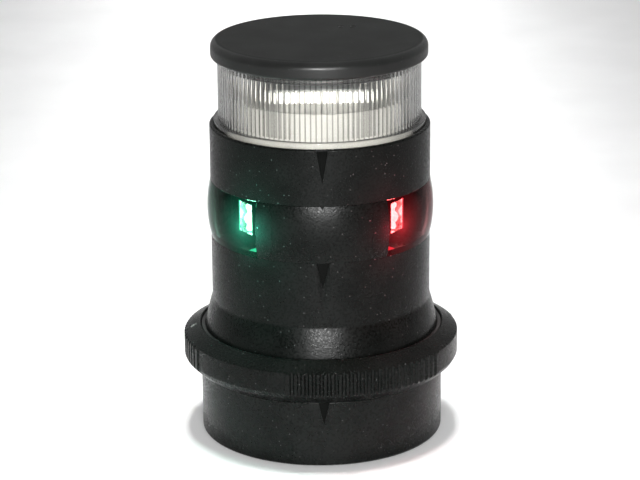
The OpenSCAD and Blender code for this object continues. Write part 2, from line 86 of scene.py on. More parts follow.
def outer(node):
    """Largest reach of a CAD node from the axis, along X or Y."""
    least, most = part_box(node)
    return max(-least.x, most.x, -least.y, most.y) / MM


def on_bearing(bearing, distance, level=0.0):
    """A point at a bearing and a distance from the axis."""
    turn = math.radians(bearing)
    return Vector((math.sin(turn) * distance, -math.cos(turn) * distance, level))


HEAD_R = outer("upper_housing")
BAND_LOW = high("lower_housing")
BAND_TOP = low("upper_housing")
BAND_MID = (BAND_LOW + BAND_TOP) / 2
RIM = high("upper_housing")
SPIGOT_LOW = low("lower_housing")
NECK_TOP = high("base_cup")
RING_LOW = low("locking_ring")
RING_TOP = high("locking_ring")
RING_R = outer("locking_ring")

STRAIGHT_WALL = 19.5
CREASE = BAND_LOW - STRAIGHT_WALL
SKIRT_ABOVE_NECK = 5.7
SKIRT_LOW = NECK_TOP + SKIRT_ABOVE_NECK

# the seal grooves in the housings' faces towards the band, and the hole through those faces
SEAL_IN = 29.7
SEAL_OUT = 30.9
SEAL_DEEP = 1.1
BAND_HOLE = 20.5

# the twist lock: lugs on the head's neck and tabs in the ring, three of each
THIRD = 120
LUG_ARC = 36
LOCK_TURN = 42

# the arrows: pocket depth at the tip, lean of the pocket floor, width at the top and level of the tip
ARROW_DEEP = 0.25
ARROW_LEAN = 9
ARROW_WIDE = 4.0
LOWER_ARROW_TIP = BAND_LOW - 8.1
UPPER_ARROW_WIDE = 3.7
UPPER_ARROW_TIP = RIM - 10.4

# the ring's outer wall between its grip blocks, and the bevel from that wall to its mouth
RING_WALL = RING_R - 0.35
RING_WALL_TOP = RING_LOW + 10.3
RING_MOUTH = 36.9
BEVEL_POINTS = (0.45, 0.6, 0.75, 0.9, 1.05, 1.2, 1.6)

# ribs round the anchor lens
RIBS = 120

# faces that meet at a smaller angle than this look like one smooth surface
SMOOTH_BELOW = 30

# where a lug, key, tab or peg is absent, it stands this far out, so that every outline has as many points
HAIR = 0.001


# ---------------------------------------------------------------- building shapes

def make_object(name, points, faces):
    """Mesh object from points in millimetres, with clean outward faces."""
    mesh = bpy.data.meshes.new(name)
    mesh.from_pydata([point * MM for point in points], [], faces)
    sewn = bmesh.new()
    sewn.from_mesh(mesh)
    bmesh.ops.remove_doubles(sewn, verts=sewn.verts, dist=1e-7)
    bmesh.ops.recalc_face_normals(sewn, faces=sewn.faces)
    sewn.to_mesh(mesh)
    sewn.free()
    obj = bpy.data.objects.new(name, mesh)
    scene.collection.objects.link(obj)
    shade(obj)
    return obj


def shade(obj):
    """Smooth shading, kept crisp where faces meet at more than SMOOTH_BELOW degrees."""
    obj.data.shade_smooth()
    obj.data.set_sharp_from_angle(angle=math.radians(SMOOTH_BELOW))
    weighted = obj.modifiers.new("even_normals", "WEIGHTED_NORMAL")
    weighted.keep_sharp = True


def rounded(corners):
    """Closed outline whose corners, given as (r, z, fillet), are rounded by arcs."""
    outline = []
    for index, (r, z, fillet) in enumerate(corners):
        here = Vector((r, z))
        if not fillet:
            outline.append(here)
            continue
        back = Vector(corners[index - 1][:2]) - here
        ahead = Vector(corners[(index + 1) % len(corners)][:2]) - here
        half = back.angle(ahead) / 2
        inwards = (back.normalized() + ahead.normalized()).normalized()
        centre = here + inwards * fillet / math.sin(half)
        start = here + back.normalized() * fillet / math.tan(half) - centre
        end = here + ahead.normalized() * fillet / math.tan(half) - centre
        sweep = start.angle_signed(end)
        steps = 3 if fillet < 0.3 else 5 if fillet < 1 else 12
        for step in range(steps + 1):
            outline.append(centre + Matrix.Rotation(-sweep * step / steps, 2) @ start)
    return outline


def lathe(name, outline_at, segments=360):
    """Body of revolution. outline_at is an outline of (r, z) points, or gives one for a bearing."""
    points = []
    for column in range(segments):
        bearing = 360 * column / segments
        outline = outline_at(bearing) if callable(outline_at) else outline_at
        points += [on_bearing(bearing, r, z) for r, z in outline]
    rows = len(outline)
    faces = []
    for column in range(segments):
        this, following = column * rows, (column + 1) % segments * rows
        for row in range(rows):
            after = (row + 1) % rows
            faces.append((this + row, following + row, following + after, this + after))
    return make_object(name, points, faces)


def segment(name, first, last, profile):
    """Part of a body of revolution: a closed profile of (r, z) points, swept between two bearings."""
    steps = 24
    count = len(profile)
    points = []
    for step in range(steps + 1):
        bearing = first + (last - first) * step / steps
        points += [on_bearing(bearing, r, z) for r, z in profile]
    faces = [tuple(range(count)), tuple(count * steps + corner for corner in range(count))]
    for step in range(steps):
        here, following = count * step, count * (step + 1)
        for corner in range(count):
            after = (corner + 1) % count
            faces.append((here + corner, here + after, following + after, following + corner))
    return make_object(name, points, faces)


def prism(name, outline, start, depth):
    """Straight prism: outline of (x, z) points, from y = start to y = start + depth."""
    points = [Vector((x, y, z)) for y in (start, start + depth) for x, z in outline]
    count = len(outline)
    faces = [tuple(range(count)), tuple(range(count, 2 * count))]
    for i in range(count):
        after = (i + 1) % count
        faces.append((i, after, count + after, count + i))
    return make_object(name, points, faces)


def carve(obj, cutter):
    """Cuts the cutter out of a piece with an exact Boolean and throws the cutter away."""
    obj.modifiers.clear()
    cut = obj.modifiers.new("cut", "BOOLEAN")
    cut.object, cut.operation, cut.solver = cutter, "DIFFERENCE", "EXACT"
    evaluated = obj.evaluated_get(bpy.context.evaluated_depsgraph_get())
    result = bpy.data.meshes.new_from_object(evaluated)
    obj.modifiers.clear()
    obj.data = result
    bpy.data.objects.remove(cutter)
    shade(obj)


def within(bearing, first, span, copies=3):
    """True where a bearing lies in one of the evenly spaced arcs that start at first."""
    return (bearing - first) % (360 / copies) <= span


# ---------------------------------------------------------------- materials

def new_material(name, colour, roughness, metallic=0.0):
    """A Principled material with its plain values set on the shader itself."""
    material = bpy.data.materials.new(name)
    material.use_nodes = True
    shader = material.node_tree.nodes["Principled BSDF"]
    shader.inputs["Base Color"].default_value = (*colour, 1)
    shader.inputs["Roughness"].default_value = roughness
    shader.inputs["Metallic"].default_value = metallic
    return material, material.node_tree, shader


def coordinates(tree, kind="Object"):
    """A place on the object, the way its surface faces there, or a direction in the world."""
    return tree.nodes.new("ShaderNodeTexCoord").outputs[kind]


def axes(tree, source):
    """The X, Y and Z of a place or direction."""
    node = tree.nodes.new("ShaderNodeSeparateXYZ")
    tree.links.new(source, node.inputs["Vector"])
    return node.outputs


def calculate(tree, operation, first, second):
    """A Math node, whose two inputs are numbers or the outputs of other nodes."""
    node = tree.nodes.new("ShaderNodeMath")
    node.operation = operation
    for socket, value in zip(node.inputs, (first, second)):
        if isinstance(value, float):
            socket.default_value = value
        else:
            tree.links.new(value, socket)
    return node.outputs["Value"]


def dimmed(colour, share):
    """A colour at a share of its brightness."""
    return tuple(share * part for part in colour)


def noise(tree, grain, detail=2.0):
    """Noise whose lumps are about grain millimetres wide, fixed to the object."""
    texture = tree.nodes.new("ShaderNodeTexNoise")
    texture.inputs["Scale"].default_value = 1 / (grain * MM)
    texture.inputs["Detail"].default_value = detail
    tree.links.new(coordinates(tree), texture.inputs["Vector"])
    return texture.outputs["Fac"]


def specks(tree, spacing):
    """Distance to the nearest of some scattered points, for sparse dust."""
    cells = tree.nodes.new("ShaderNodeTexVoronoi")
    cells.inputs["Scale"].default_value = 1 / (spacing * MM)
    tree.links.new(coordinates(tree), cells.inputs["Vector"])
    return cells.outputs["Distance"]


def ramp(tree, source, stops):
    """Colour ramp over (position, value or colour) stops."""
    node = tree.nodes.new("ShaderNodeValToRGB")
    elements = node.color_ramp.elements
    elements.remove(elements[1])
    for index, (position, value) in enumerate(stops):
        element = elements[0] if index == 0 else elements.new(position)
        element.position = position
        element.color = (*value, 1) if isinstance(value, tuple) else (value, value, value, 1)
    tree.links.new(source, node.inputs["Fac"])
    return node.outputs["Color"]


def add_bump(tree, shader, source, depth):
    """Fine relief of a texture, depth millimetres deep."""
    node = tree.nodes.new("ShaderNodeBump")
    node.inputs["Strength"].default_value = 1.0
    node.inputs["Distance"].default_value = depth * MM
    tree.links.new(source, node.inputs["Height"])
    tree.links.new(node.outputs["Normal"], shader.inputs["Normal"])


def worn_top(tree, roughness):
    """Roughness that turns matt on faces that look straight up."""
    matt = 0.75
    upwards = axes(tree, coordinates(tree, "Normal"))["Z"]
    blend = tree.nodes.new("ShaderNodeMixRGB")
    blend.inputs["Color2"].default_value = (matt, matt, matt, 1)
    tree.links.new(ramp(tree, upwards, [(0.9, 0.0), (0.99, 1.0)]), blend.inputs["Fac"])
    tree.links.new(roughness, blend.inputs["Color1"])
    return blend.outputs["Color"]


def plastic(name, dark, light, smooth, rough, grain=0.35, relief=0.02, dust=0.0, sheen=0.5, worn=False):
    """Moulded plastic or rubber with a fine grain, uneven gloss and a little dust.

    Its colour drifts from dark to light and its roughness from smooth to rough. The grain's width
    and relief are in millimetres. Sheen is the strength of its reflections.
    """
    blotch, speck_spacing = 9, 2.2
    material, tree, shader = new_material(name, dark, rough)
    shader.inputs["Specular IOR Level"].default_value = sheen
    colour = ramp(tree, noise(tree, blotch, 4), [(0.35, dark), (0.65, light)])
    if dust:
        blend = tree.nodes.new("ShaderNodeMixRGB")
        blend.blend_type = "ADD"
        blend.inputs["Fac"].default_value = 1.0
        dots = ramp(tree, specks(tree, speck_spacing), [(0.0, dust), (0.1, 0.0)])
        tree.links.new(colour, blend.inputs["Color1"])
        tree.links.new(dots, blend.inputs["Color2"])
        colour = blend.outputs["Color"]
    tree.links.new(colour, shader.inputs["Base Color"])
    roughness = ramp(tree, noise(tree, grain * 1.3), [(0.35, smooth), (0.65, rough)])
    if worn:
        roughness = worn_top(tree, roughness)
    tree.links.new(roughness, shader.inputs["Roughness"])
    add_bump(tree, shader, noise(tree, grain), relief)
    return material


def metal(name, colour, smooth, rough, grain=0.6, relief=0.004):
    """Metal with a slightly uneven finish."""
    material, tree, shader = new_material(name, colour, rough, metallic=1.0)
    tree.links.new(ramp(tree, noise(tree, grain), [(0.3, smooth), (0.7, rough)]), shader.inputs["Roughness"])
    add_bump(tree, shader, noise(tree, grain), relief)
    return material


def rib_furrow_shade(tree, ribs, from_level, dark, clear):
    """Painted shade: a tint that darkens in the furrows between the vertical ribs of a lens, above a level.
    """
    place = axes(tree, coordinates(tree))
    turn = calculate(tree, "ARCTAN2", place["X"], place["Y"])
    ribs_along = calculate(tree, "MULTIPLY", turn, ribs / math.tau)
    from_furrow = calculate(tree, "PINGPONG", ribs_along, 0.5)
    below = calculate(tree, "LESS_THAN", place["Z"], from_level * MM)
    clearness = calculate(tree, "ADD", from_furrow, below)
    return ramp(tree, clearness, [(0.0, dark), (0.1, dark), (0.17, clear)])


def distance_share(tree, centre, reach):
    """Distance from a point as a share of reach millimetres."""
    away = tree.nodes.new("ShaderNodeVectorMath")
    away.operation = "DISTANCE"
    away.inputs[1].default_value = centre * MM
    tree.links.new(coordinates(tree), away.inputs[0])
    return calculate(tree, "DIVIDE", away.outputs["Value"], reach * MM)


def paint_glow_and_shade(tree, shader, tint, centre, reach, colour, strength):
    """Painted glow of scattered light in a tinted lens, brightest at a point, and painted shade past its
    window, where the tint turns nearly black.
    """
    # painted glow: emission that stands in for the LED's light scattered in the lens
    stops = [(0.0, colour), (0.25, dimmed(colour, 0.35)), (0.55, dimmed(colour, 0.12)), (1.0, 0.0)]
    glow = ramp(tree, distance_share(tree, centre, reach), stops)
    tree.links.new(glow, shader.inputs["Emission Color"])
    shader.inputs["Emission Strength"].default_value = strength
    painted_shade_reach = 26
    painted_shade_stops = [(0.0, tint), (0.7, tint), (0.86, dimmed(tint, 0.06))]
    # painted shade: past its window the lens's tint is darkened almost to black
    depth = ramp(tree, distance_share(tree, centre, painted_shade_reach), painted_shade_stops)
    tree.links.new(depth, shader.inputs["Base Color"])


def glass(name, tint, shadow_tint, smooth=0.02, rough=0.06, ribs=0, glow=None, ior=1.49):
    """Clear plastic that lets lamps through to what is behind it.

    It may have painted shade as dark lines between a number of vertical ribs, or a painted glow
    with painted shade past its window, which is given as its centre, reach, colour and strength.
    """
    material, tree, shader = new_material(name, tint, smooth)
    if ribs:
        # painted shade in the furrows between the ribs
        painted_furrow_shade = rib_furrow_shade(tree, ribs, RIM + 1.7, dimmed(tint, 0.3), tint)
        tree.links.new(painted_furrow_shade, shader.inputs["Base Color"])
    if glow:
        paint_glow_and_shade(tree, shader, tint, *glow)
    shader.inputs["Transmission Weight"].default_value = 1.0
    shader.inputs["IOR"].default_value = ior
    tree.links.new(ramp(tree, noise(tree, 3, 3), [(0.4, smooth), (0.7, rough)]), shader.inputs["Roughness"])
    clear = tree.nodes.new("ShaderNodeBsdfTransparent")
    clear.inputs["Color"].default_value = (*shadow_tint, 1)
    path = tree.nodes.new("ShaderNodeLightPath")
    blend = tree.nodes.new("ShaderNodeMixShader")
    tree.links.new(path.outputs["Is Shadow Ray"], blend.inputs["Fac"])
    tree.links.new(shader.outputs["BSDF"], blend.inputs[1])
    tree.links.new(clear.outputs["BSDF"], blend.inputs[2])
    tree.links.new(blend.outputs["Shader"], tree.nodes["Material Output"].inputs["Surface"])
    return material


def lit(name, colour, glow, strength):
    """Lit LED, or the painted light on a lit lip or ledge: its own pale colour and a glow, a little uneven.
    """
    material, tree, shader = new_material(name, colour, 0.3)
    shader.inputs["Emission Strength"].default_value = strength
    uneven = ramp(tree, noise(tree, 0.8), [(0.3, dimmed(glow, 0.7)), (0.6, glow)])
    tree.links.new(uneven, shader.inputs["Emission Color"])
    return material


# one material for each record slot
FINISHES = {
    "black_plastic": plastic("black_plastic", (0.0022, 0.0028, 0.0024), (0.0045, 0.0052, 0.0047), 0.2, 0.42,
                             grain=0.55, relief=0.055, dust=0.14, sheen=0.13),
    "cap_plastic": plastic("cap_plastic", (0.008, 0.0084, 0.008), (0.012, 0.0125, 0.012), 0.28, 0.4,
                           grain=0.5, relief=0.02, dust=0.06, sheen=0.3, worn=True),
    "rubber": plastic("rubber", (0.008, 0.008, 0.008), (0.014, 0.014, 0.013), 0.3, 0.45,
                      grain=0.5, relief=0.01, sheen=0.4),
    "block_plastic": plastic("block_plastic", (0.03, 0.03, 0.032), (0.05, 0.05, 0.053), 0.4, 0.55),
    "contact_brass": metal("contact_brass", (0.83, 0.62, 0.28), 0.18, 0.34),
    "screw_steel": metal("screw_steel", (0.62, 0.62, 0.63), 0.22, 0.38),
    "spring_steel": metal("spring_steel", (0.55, 0.56, 0.58), 0.25, 0.4),
    "board_green": plastic("board_green", (0.015, 0.12, 0.05), (0.03, 0.17, 0.08), 0.25, 0.4),
    "component_dark": plastic("component_dark", (0.02, 0.02, 0.024), (0.06, 0.06, 0.07), 0.3, 0.5),
    "heat_sink_metal": metal("heat_sink_metal", (0.7, 0.71, 0.72), 0.3, 0.5),
    # the side lenses have a painted glow round their LEDs and painted shade past their windows
    "green_lens": glass("green_lens", (0.10, 0.27, 0.19), (0.10, 0.27, 0.19),
                        glow=(on_bearing(-44, 34, BAND_MID), 12, (0.1, 1.0, 0.62), 0.3), ior=1.14),
    "red_lens": glass("red_lens", (0.27, 0.08, 0.085), (0.27, 0.08, 0.085),
                      glow=(on_bearing(44, 34, BAND_MID), 12, (1.0, 0.04, 0.06), 0.4), ior=1.14),
    "stern_lens": glass("stern_lens", (0.95, 0.96, 0.97), (0.95, 0.96, 0.97)),
    # the anchor lens has painted shade in the furrows between its ribs
    "anchor_lens": glass("anchor_lens", (0.95, 0.95, 0.93), (0.95, 0.95, 0.93), 0.08, 0.16, ribs=RIBS),
    "reflector_metal": metal("reflector_metal", (0.9, 0.9, 0.91), 0.12, 0.3, 0.8, 0.02),
    "led_board_white": plastic("led_board_white", (0.3, 0.3, 0.28), (0.36, 0.36, 0.34), 0.3, 0.45),
    "green_led": lit("green_led", (0.6, 1.0, 0.8), (0.8, 1.0, 0.92), 22),
    "red_led": lit("red_led", (1.0, 0.6, 0.55), (1.0, 0.42, 0.4), 26),
    "white_led": lit("white_led", (1.0, 0.98, 0.9), (1.0, 0.98, 0.93), 1.8),
    "white_plastic": plastic("white_plastic", (0.31, 0.302, 0.283), (0.36, 0.352, 0.332), 0.35, 0.5,
                             grain=0.8, relief=0.01),
}

# materials of the pieces that only the looks have: painted shade in the arrow pockets, painted light on the
# lit lips and ledges, padlock marks
# painted shade: a dark sheet with almost no reflection, for the arrow pockets
ARROW = plastic("arrow_painted_shade", (0.0031, 0.0034, 0.0031), (0.0049, 0.0053, 0.0049), 0.3, 0.4, sheen=0.01)
# painted light: glowing lips and ledges where the side lamps' light falls
PAINTED_LIGHT_EDGES = {
    "green_led": lit("green_ledge_painted_light", (0.1, 0.3, 0.2), (0.1, 1.0, 0.7), 2.6),
    "red_led": lit("red_ledge_painted_light", (0.3, 0.05, 0.06), (1.0, 0.07, 0.13), 3.2),
}
MARK = plastic("mark_paint", (0.16, 0.16, 0.155), (0.24, 0.24, 0.23), 0.4, 0.6)


def dress(obj, material, body):
    """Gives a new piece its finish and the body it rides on."""
    obj.data.materials.clear()
    obj.data.materials.append(material)
    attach(obj, body)


def stand_for(obj, node):
    """Gives a piece the CAD node's body and the finish of the node's material slot, and lets it stand for the
    node.
    """
    slot = slot_of[node]
    dress(obj, FINISHES[slot], nodes[node]["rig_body"])
    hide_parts(node)


# ---------------------------------------------------------------- top cap

def make_top_cap():
    """Flat-topped cap with a wide rounded edge, a plug below it and two small moulding marks."""
    top, cap_low, plug_low = high("top_cap"), high("anchor_lens") + 0.02, low("top_cap")
    cap_r, plug_r, plug_in, groove_r = outer("top_cap"), 27.9, 25.5, 26.65
    roof, groove_low, groove_top = top - 2.2, cap_low - 1.97, cap_low - 0.67
    cap = lathe("top_cap_look", rounded([
        (0, top, 0), (0, roof, 0), (plug_in, roof, 0.3), (plug_in, plug_low, 0.2),
        (plug_r, plug_low, 0.3), (plug_r, groove_low, 0), (groove_r, groove_low, 0),
        (groove_r, groove_top, 0), (plug_r, groove_top, 0), (plug_r, cap_low, 0),
        (cap_r, cap_low, 0.9), (cap_r, top, 2.4),
    ]))
    mark_in, mark_out, mark_deep, mark_back = 0.75, 1.2, 0.2, 13.2
    mark_low, mark_top = top - mark_deep, top + 1
    section = [(mark_in, mark_low), (mark_out, mark_low), (mark_out, mark_top), (mark_in, mark_top)]
    for x in (6.8, 10.2):
        mark = lathe("mark", [Vector(point) for point in section], 48)
        mark.location = Vector((x, mark_back, 0)) * MM
        carve(cap, mark)
    stand_for(cap, "top_cap")


# ---------------------------------------------------------------- anchor lens

def make_anchor_lens():
    """Clear wall with round vertical ribs above a plain flange."""
    flange_r, base, top = outer("anchor_lens"), low("anchor_lens"), high("anchor_lens")
    flange_top, inside = RIM + 1.6, 28.0
    rib_round, flange_step, facets_a_rib = 1.6, 1.4, 10
    rib_centre = flange_r - flange_step - rib_round
    pitch = 360 / RIBS

    def outline_at(bearing):
        off = math.radians(bearing % pitch - pitch / 2)
        side = rib_centre * math.sin(off)
        wall = rib_centre * math.cos(off) + math.sqrt(rib_round ** 2 - side ** 2)
        return rounded([
            (inside, base, 0.1), (flange_r, base, 0.15), (flange_r, flange_top, 0.3),
            (wall, flange_top, 0.15), (wall, top, 0.2), (inside, top, 0.1),
        ])

    stand_for(lathe("anchor_lens_look", outline_at, RIBS * facets_a_rib), "anchor_lens")


# ---------------------------------------------------------------- housings

def arrow_cutter(radius, width, top, tip, lean):
    """Wedge for a downward pointing arrow pocket, whose floor leans back by lean degrees."""
    deep = ARROW_DEEP + (top - tip) * math.tan(math.radians(lean))
    outside = Vector((0, 3, 0))
    points = [Vector((0, -radius + ARROW_DEEP, tip))]
    points += [Vector((side * width / 2, -radius + deep, top)) for side in (-1, 1)]
    points += [point - outside for point in points]
    faces = [(0, 1, 2), (3, 4, 5), (0, 1, 4, 3), (1, 2, 5, 4), (2, 0, 3, 5)]
    return make_object("arrow_cutter", points, faces)


def arrow_shade_sheet(name, body, radius, width, top, tip, lean):
    """Painted shade in an arrow pocket: a thin dark triangle with almost no reflection that lies on its
    floor.
    """
    height, inset, thick, sunk = top - tip, 0.06, 0.1, 0.2
    half = width / 2 - inset
    floor = prism(name, [(-half, height), (0, 3 * inset), (half, height)], 0, thick)
    lean_back = Matrix.Rotation(math.radians(-lean), 4, "X")
    place = Matrix.Translation(Vector((0, sunk - radius, tip)) * MM)
    floor.data.transform(place @ lean_back)
    dress(floor, ARROW, body)


def make_arrow_shade_sheets():
    """The painted shade in the arrows on the base and on both housings."""
    base_r, base_top, base_tip = outer("base_cup"), NECK_TOP - 6.9, NECK_TOP - 14.3
    arrow_shade_sheet("base_arrow", "base", base_r, ARROW_WIDE, base_top, base_tip, ARROW_LEAN)
    lower_top = BAND_LOW - 0.2
    arrow_shade_sheet("lower_arrow", "head", HEAD_R, ARROW_WIDE, lower_top, LOWER_ARROW_TIP, ARROW_LEAN)
    upper_top = RIM - 0.6
    arrow_shade_sheet("upper_arrow", "head", HEAD_R, UPPER_ARROW_WIDE, upper_top, UPPER_ARROW_TIP, ARROW_LEAN / 2)


def make_lower_housing():
    """Spigot, neck with three lugs, softly bulging flare and straight wall, with the arrow."""
    spigot_in, spigot_r, spigot_top, neck_r = 28.5, 31.2, NECK_TOP + 0.05, 34.0
    groove_r, groove_low, groove_top = 29.75, SPIGOT_LOW + 3.6, SPIGOT_LOW + 5.4
    key_r, key_arc, key_low, key_top = 32.3, 7.2, SPIGOT_LOW + 6, NECK_TOP - 0.5
    lug_r, lug_low, lug_top = 36.2, NECK_TOP + 0.4, NECK_TOP + 2.3
    cavity_r, cavity_low, cavity_top = 31.0, SKIRT_LOW + 2.8, BAND_LOW - 2.5
    seal_top = BAND_LOW - SEAL_DEEP
    skirt_r, bulge, flare_steps = 35.55, 0.14, 12
    skirt = Vector((skirt_r, SKIRT_LOW))
    slope = Vector((HEAD_R, CREASE)) - skirt
    outwards = Vector((slope.y, -slope.x)).normalized()
    flare = []
    for step in range(1, flare_steps):
        part = step / flare_steps
        point = skirt + slope * part + outwards * 4 * bulge * part * (1 - part)
        flare.append((*point, 0))

    def outline_at(bearing):
        lug = lug_r if within(bearing, -LUG_ARC / 2, LUG_ARC) else neck_r + HAIR
        key = key_r if within(bearing, 180 - key_arc / 2, key_arc, 1) else spigot_r + HAIR
        spigot = [
            (spigot_in, SPIGOT_LOW, 0.2), (spigot_r, SPIGOT_LOW, 0.5),
            (spigot_r, groove_low, 0), (groove_r, groove_low, 0),
            (groove_r, groove_top, 0), (spigot_r, groove_top, 0),
            (spigot_r, key_low, 0), (key, key_low, 0), (key, key_top, 0), (spigot_r, key_top, 0),
            (spigot_r, spigot_top, 0),
        ]
        neck = [
            (neck_r, spigot_top, 0.15), (neck_r, lug_low, 0), (lug, lug_low, 0), (lug, lug_top, 0),
            (neck_r, lug_top, 0), (neck_r, SKIRT_LOW, 0), (skirt_r, SKIRT_LOW, 0.25),
        ]
        wall = [
            (HEAD_R, CREASE, 0), (HEAD_R, BAND_LOW, 0.12),
            (SEAL_OUT, BAND_LOW, 0), (SEAL_OUT, seal_top, 0), (SEAL_IN, seal_top, 0), (SEAL_IN, BAND_LOW, 0),
            (BAND_HOLE, BAND_LOW, 0.2), (BAND_HOLE, cavity_top, 0.2),
            (cavity_r, cavity_top, 0.5), (cavity_r, cavity_low, 0), (spigot_in, cavity_low, 0.3),
        ]
        return rounded(spigot + neck + flare + wall)

    housing = lathe("lower_housing_look", outline_at)
    carve(housing, arrow_cutter(HEAD_R, ARROW_WIDE, BAND_LOW + 0.3, LOWER_ARROW_TIP, ARROW_LEAN))
    stand_for(housing, "lower_housing")


def make_upper_housing():
    """Plain shell with a rounded rim around the lens flange, with the arrow."""
    seat, seat_under, seat_in, lip = RIM - 3, RIM - 4.9, 24, outer("anchor_lens") + 0.1
    shell_in, floor_top, floor_step, seal_top = 31, BAND_TOP + 2.5, BAND_TOP + 1, BAND_TOP + SEAL_DEEP
    housing = lathe("upper_housing_look", rounded([
        (BAND_HOLE, BAND_TOP, 0.2), (SEAL_IN, BAND_TOP, 0), (SEAL_IN, seal_top, 0),
        (SEAL_OUT, seal_top, 0), (SEAL_OUT, BAND_TOP, 0),
        (HEAD_R, BAND_TOP, 0.12), (HEAD_R, RIM, 0.55), (lip, RIM, 0.3), (lip, seat, 0.1),
        (seat_in, seat, 0.3), (seat_in, seat_under, 0), (shell_in, seat_under, 0.5),
        (shell_in, floor_top, 0.5), (seat_in, floor_top, 0), (seat_in, floor_step, 0),
        (BAND_HOLE, floor_step, 0.2),
    ]))
    carve(housing, arrow_cutter(HEAD_R, UPPER_ARROW_WIDE, RIM + 0.3, UPPER_ARROW_TIP, ARROW_LEAN / 2))
    stand_for(housing, "upper_housing")


# ---------------------------------------------------------------- locking ring

def make_locking_ring():
    """Collar with a wide bevel, three ribbed grip blocks, inner tabs and a stop peg."""
    bore, flange_r, flange_top, mouth_low = 36.5, 34.9, RING_LOW + 3.4, RING_TOP - 2.2
    wall_low, groove_low = RING_LOW + 3.7, RING_LOW + 2.62
    slope = (RING_TOP - RING_WALL_TOP) / (RING_WALL - RING_MOUTH)
    grip_from, rib_pitch, rib_count = -16, 3, 24
    half_pitch, grip_arc = rib_pitch / 2, rib_pitch * rib_count
    groove_depth, groove_share, no_cut = 0.62, 0.58, RING_R + 1
    tab_low, tab_top, tab_r = NECK_TOP + 2.6, NECK_TOP + 4.5, 34.3
    peg_low, peg_r, peg_at, peg_arc = NECK_TOP - 0.9, 35.0, 75, 6

    def grip_cut(from_start):
        """Reach of the wall in the round grooves between the ribs of a grip block."""
        off = abs((from_start + half_pitch) % rib_pitch - half_pitch) / half_pitch
        if not half_pitch < from_start < grip_arc - half_pitch or off >= groove_share:
            return no_cut
        return RING_R - groove_depth * math.sqrt(1 - (off / groove_share) ** 2)

    def outline_at(bearing):
        from_start = (bearing - grip_from) % THIRD
        wall = RING_R if from_start <= grip_arc else RING_WALL
        shoulder = RING_WALL_TOP - (wall - RING_WALL) * slope
        tab = tab_r if within(bearing, LOCK_TURN - LUG_ARC / 2, LUG_ARC) else bore - HAIR
        peg = peg_r if within(bearing, peg_at - peg_arc / 2, peg_arc, 1) else bore - HAIR
        cut = grip_cut(from_start)
        outside = [
            (flange_r, RING_LOW, 0.2), (38, RING_LOW, 0.3), (39.5, RING_LOW + 0.9, 0.3),
            (RING_WALL - 0.7, RING_LOW + 2.4, 0.4), (wall - 0.3, wall_low - 0.6, 0),
            (wall, wall_low, 0.25), (wall, wall_low + 0.6, 0), (wall, shoulder - 0.6, 0),
            (wall, shoulder, 0.3),
        ]
        bevel = [(wall - back, shoulder + back * slope, 0) for back in BEVEL_POINTS]
        inside = [
            (RING_MOUTH, RING_TOP, 0.25), (RING_MOUTH, mouth_low, 0), (bore, mouth_low, 0),
            (bore, tab_top, 0), (tab, tab_top, 0), (tab, tab_low, 0), (bore, tab_low, 0),
            (bore, NECK_TOP, 0), (peg, NECK_TOP, 0), (peg, peg_low, 0), (bore, peg_low, 0),
            (bore, flange_top, 0), (flange_r, flange_top, 0.1),
        ]
        outline = rounded(outside + bevel + inside)
        return [(min(r, cut) if z > groove_low else r, z) for r, z in outline]

    stand_for(lathe("locking_ring_look", outline_at, 1440), "locking_ring")


def lock_mark(name, bearing, shut):
    """A small pale padlock outline on the bevel of the ring; its bow is swung aside when not shut."""
    half, tall, bow_out, bow_in, leg, thick = 0.85, 1.1, 0.62, 0.36, 0.3, 0.2
    mark_r, level, foot = 39.9, RING_LOW + 11.37, tall - 0.1
    body = prism(name, [(-half, 0), (half, 0), (half, tall), (-half, tall)], 0, thick)
    turns = [math.pi * step / 10 for step in range(11)]

    def arc(radius):
        return [(radius * math.cos(turn), tall + leg + radius * math.sin(turn)) for turn in turns]

    outline = [(bow_out, foot), *arc(bow_out), (-bow_out, foot)]
    outline += [(-bow_in, foot), *reversed(arc(bow_in)), (bow_in, foot)]
    shift = 0 if shut else bow_out + 0.5
    bow = prism(name + "_bow", [(x + shift, z) for x, z in outline], 0, thick)
    slope = math.atan2(RING_TOP - RING_WALL_TOP, RING_WALL - RING_MOUTH)
    around = Matrix.Rotation(math.radians(bearing), 4, "Z")
    out_to_bevel = Matrix.Translation(Vector((0, -mark_r, level)) * MM)
    lie_flat = Matrix.Rotation(slope - math.pi / 2, 4, "X")
    for piece in (body, bow):
        piece.data.transform(around @ out_to_bevel @ lie_flat)
        dress(piece, MARK, "ring")


def make_lock_marks():
    """A shut padlock at the left of the ring, and an open one a full lock turn further back."""
    shut_at = -88
    lock_mark("lock_shut", shut_at, True)
    lock_mark("lock_open", shut_at - LOCK_TURN, False)


# ---------------------------------------------------------------- lit windows

# the lit LEDs in the side windows: their bearing, their distance from the axis and their outline, which also
# holds the LED's painted reflections above and below it
LAMP_BEARING = 56.25
LAMP_REACH = 25.5
LAMP_WITH_REFLECTIONS_OUTLINE = (
    (0, -4.3), (0.6, -4.1), (0.95, -3.5), (0.85, -2.7), (0.6, -2.1), (1.1, -1.6), (1.5, -0.7),
    (1.5, 0.1), (1.0, 0.9), (0.55, 1.5), (0.6, 2.3), (1.0, 2.9), (1.0, 3.6), (0.6, 4.1), (0, 4.2),
)
# bearings of a side window's front edge and of the black skin, painted shade, behind the lens's dark end
WINDOW_EDGE = 35
SHADE_SKIN_FROM = 79
SHADE_SKIN_TO = 114


